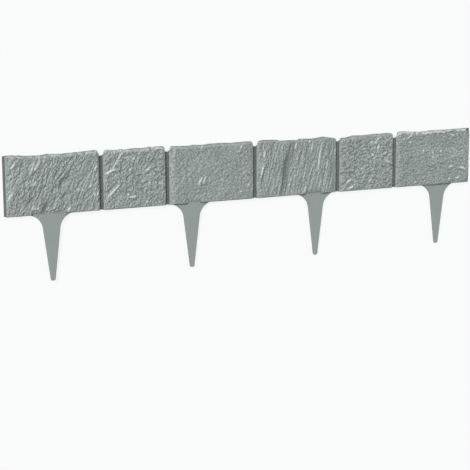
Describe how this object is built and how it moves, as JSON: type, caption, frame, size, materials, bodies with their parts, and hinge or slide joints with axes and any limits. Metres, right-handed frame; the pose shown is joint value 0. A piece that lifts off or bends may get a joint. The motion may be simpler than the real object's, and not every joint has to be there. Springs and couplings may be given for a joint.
{
  "type": "plastic lawn edging strip",
  "caption": "Moulded plastic lawn edging that looks like a row of split stones, with an open ribbed back and flat tapered ground spikes.",
  "frame": {"origin": "middle of the strip's own space, on the floor under its back rim", "axes": "+X along the strip, +Y towards the tops of the stones, +Z out of the stone faces; the strip lies on its back"},
  "size_m": [0.78, 0.186, 0.012],
  "materials": {
    "stone_grey_plastic": "matt moulded plastic in a cool stone grey, with a riven stone texture on the faces and a smoother finish on the spikes"
  },
  "bodies": {
    "root": {"edging_strip": "stone_grey_plastic"}
  },
  "joints": []
}
